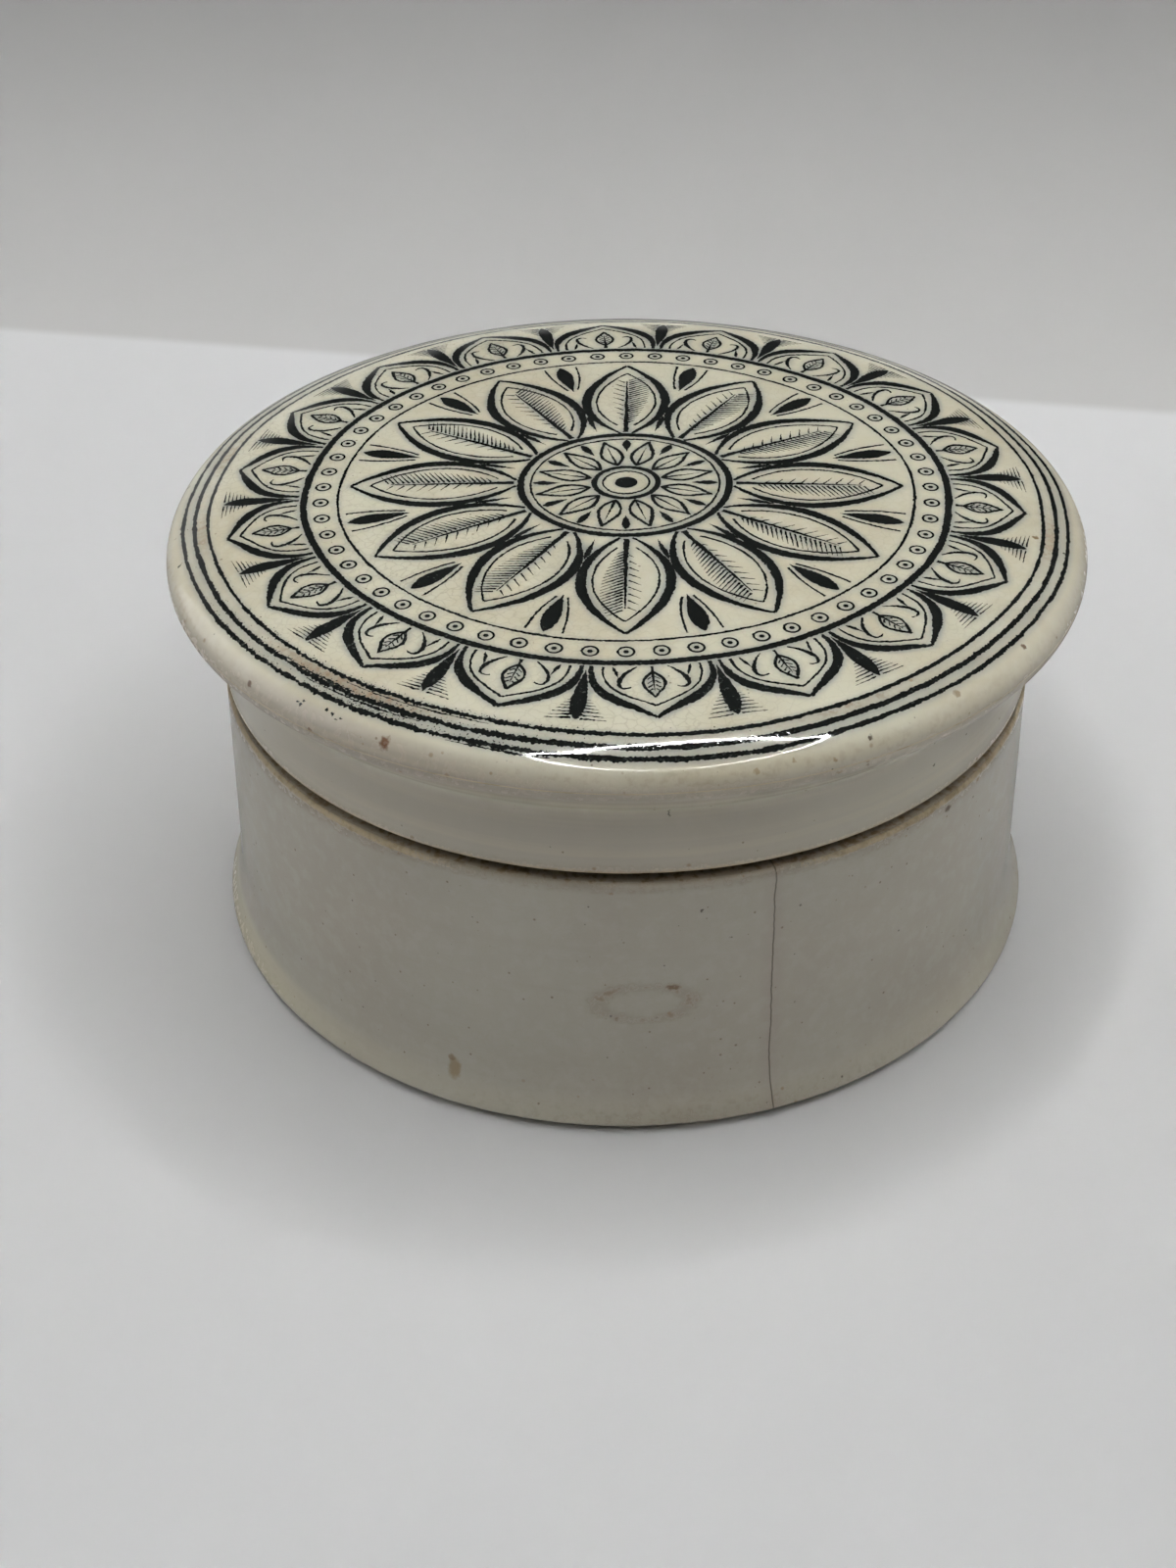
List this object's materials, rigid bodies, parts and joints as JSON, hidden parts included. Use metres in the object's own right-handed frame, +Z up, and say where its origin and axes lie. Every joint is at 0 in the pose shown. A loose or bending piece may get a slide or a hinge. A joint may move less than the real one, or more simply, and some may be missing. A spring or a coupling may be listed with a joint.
{
  "type": "cold cream pot",
  "caption": "Low round glazed earthenware pot for cold cream, with a flared foot, an inset neck and a lift-off domed lid whose rolled rim overhangs the wall.",
  "frame": {"origin": "on the table plane under the middle of the pot, where its axis of turning meets the foot ring's plane", "axes": "+Z up along the axis of turning, +X to the right and +Y away from the viewer of the picture"},
  "size_m": [0.0794, 0.0794, 0.0409],
  "materials": {
    "white_glaze": "glossy clear lead glaze over white earthenware, lightly crazed and stained",
    "ivory_glaze": "glossy clear lead glaze over ivory earthenware, finely crazed",
    "underglaze_black": "black transfer print under the same glossy glaze",
    "bare_biscuit": "unglazed fired clay, wiped clean on the foot ring and the seating edges"
  },
  "bodies": {
    "pot": {"pot": "white_glaze"},
    "lid": {"lid": "ivory_glaze"}
  },
  "joints": [
    {"name": "lid_lift", "type": "slide", "parent": "pot", "child": "lid", "axis": [0, 0, 1], "range_m": [0, 0.06]}
  ]
}
